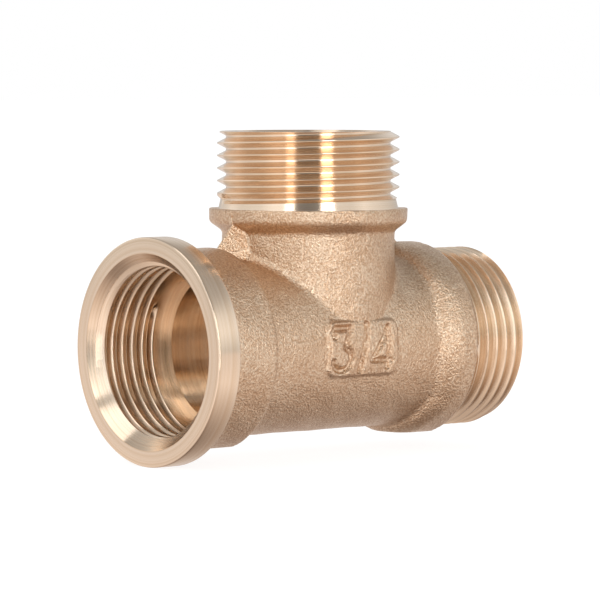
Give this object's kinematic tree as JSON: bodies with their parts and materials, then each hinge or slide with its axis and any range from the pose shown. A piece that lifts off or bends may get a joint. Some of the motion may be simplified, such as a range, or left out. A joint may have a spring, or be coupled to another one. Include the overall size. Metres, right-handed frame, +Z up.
{
  "type": "tee fitting",
  "caption": "Forged brass pipe tee with a female thread at one end of the run and male threads at the other end and on the branch.",
  "frame": {"origin": "where the axis of the run crosses the axis of the branch", "axes": "+X along the run towards its male end, so the female end faces -X; +Z up the branch; the size mark is on the -Y side"},
  "size_m": [0.0606, 0.0324, 0.047],
  "materials": {
    "forged_skin": "hot forged and shot blasted, fine even grain",
    "turned_brass": "turned bright, fine tool marks round the axis"
  },
  "bodies": {
    "root": {"forged_body": "forged_skin", "socket_hub": "forged_skin", "branch_collar": "forged_skin", "run_shoulder": "forged_skin", "socket_side_web": "forged_skin", "male_side_web": "forged_skin", "size_pad": "forged_skin", "socket_rim": "turned_brass", "socket_thread": "turned_brass", "branch_thread": "turned_brass", "run_thread": "turned_brass"}
  },
  "joints": []
}
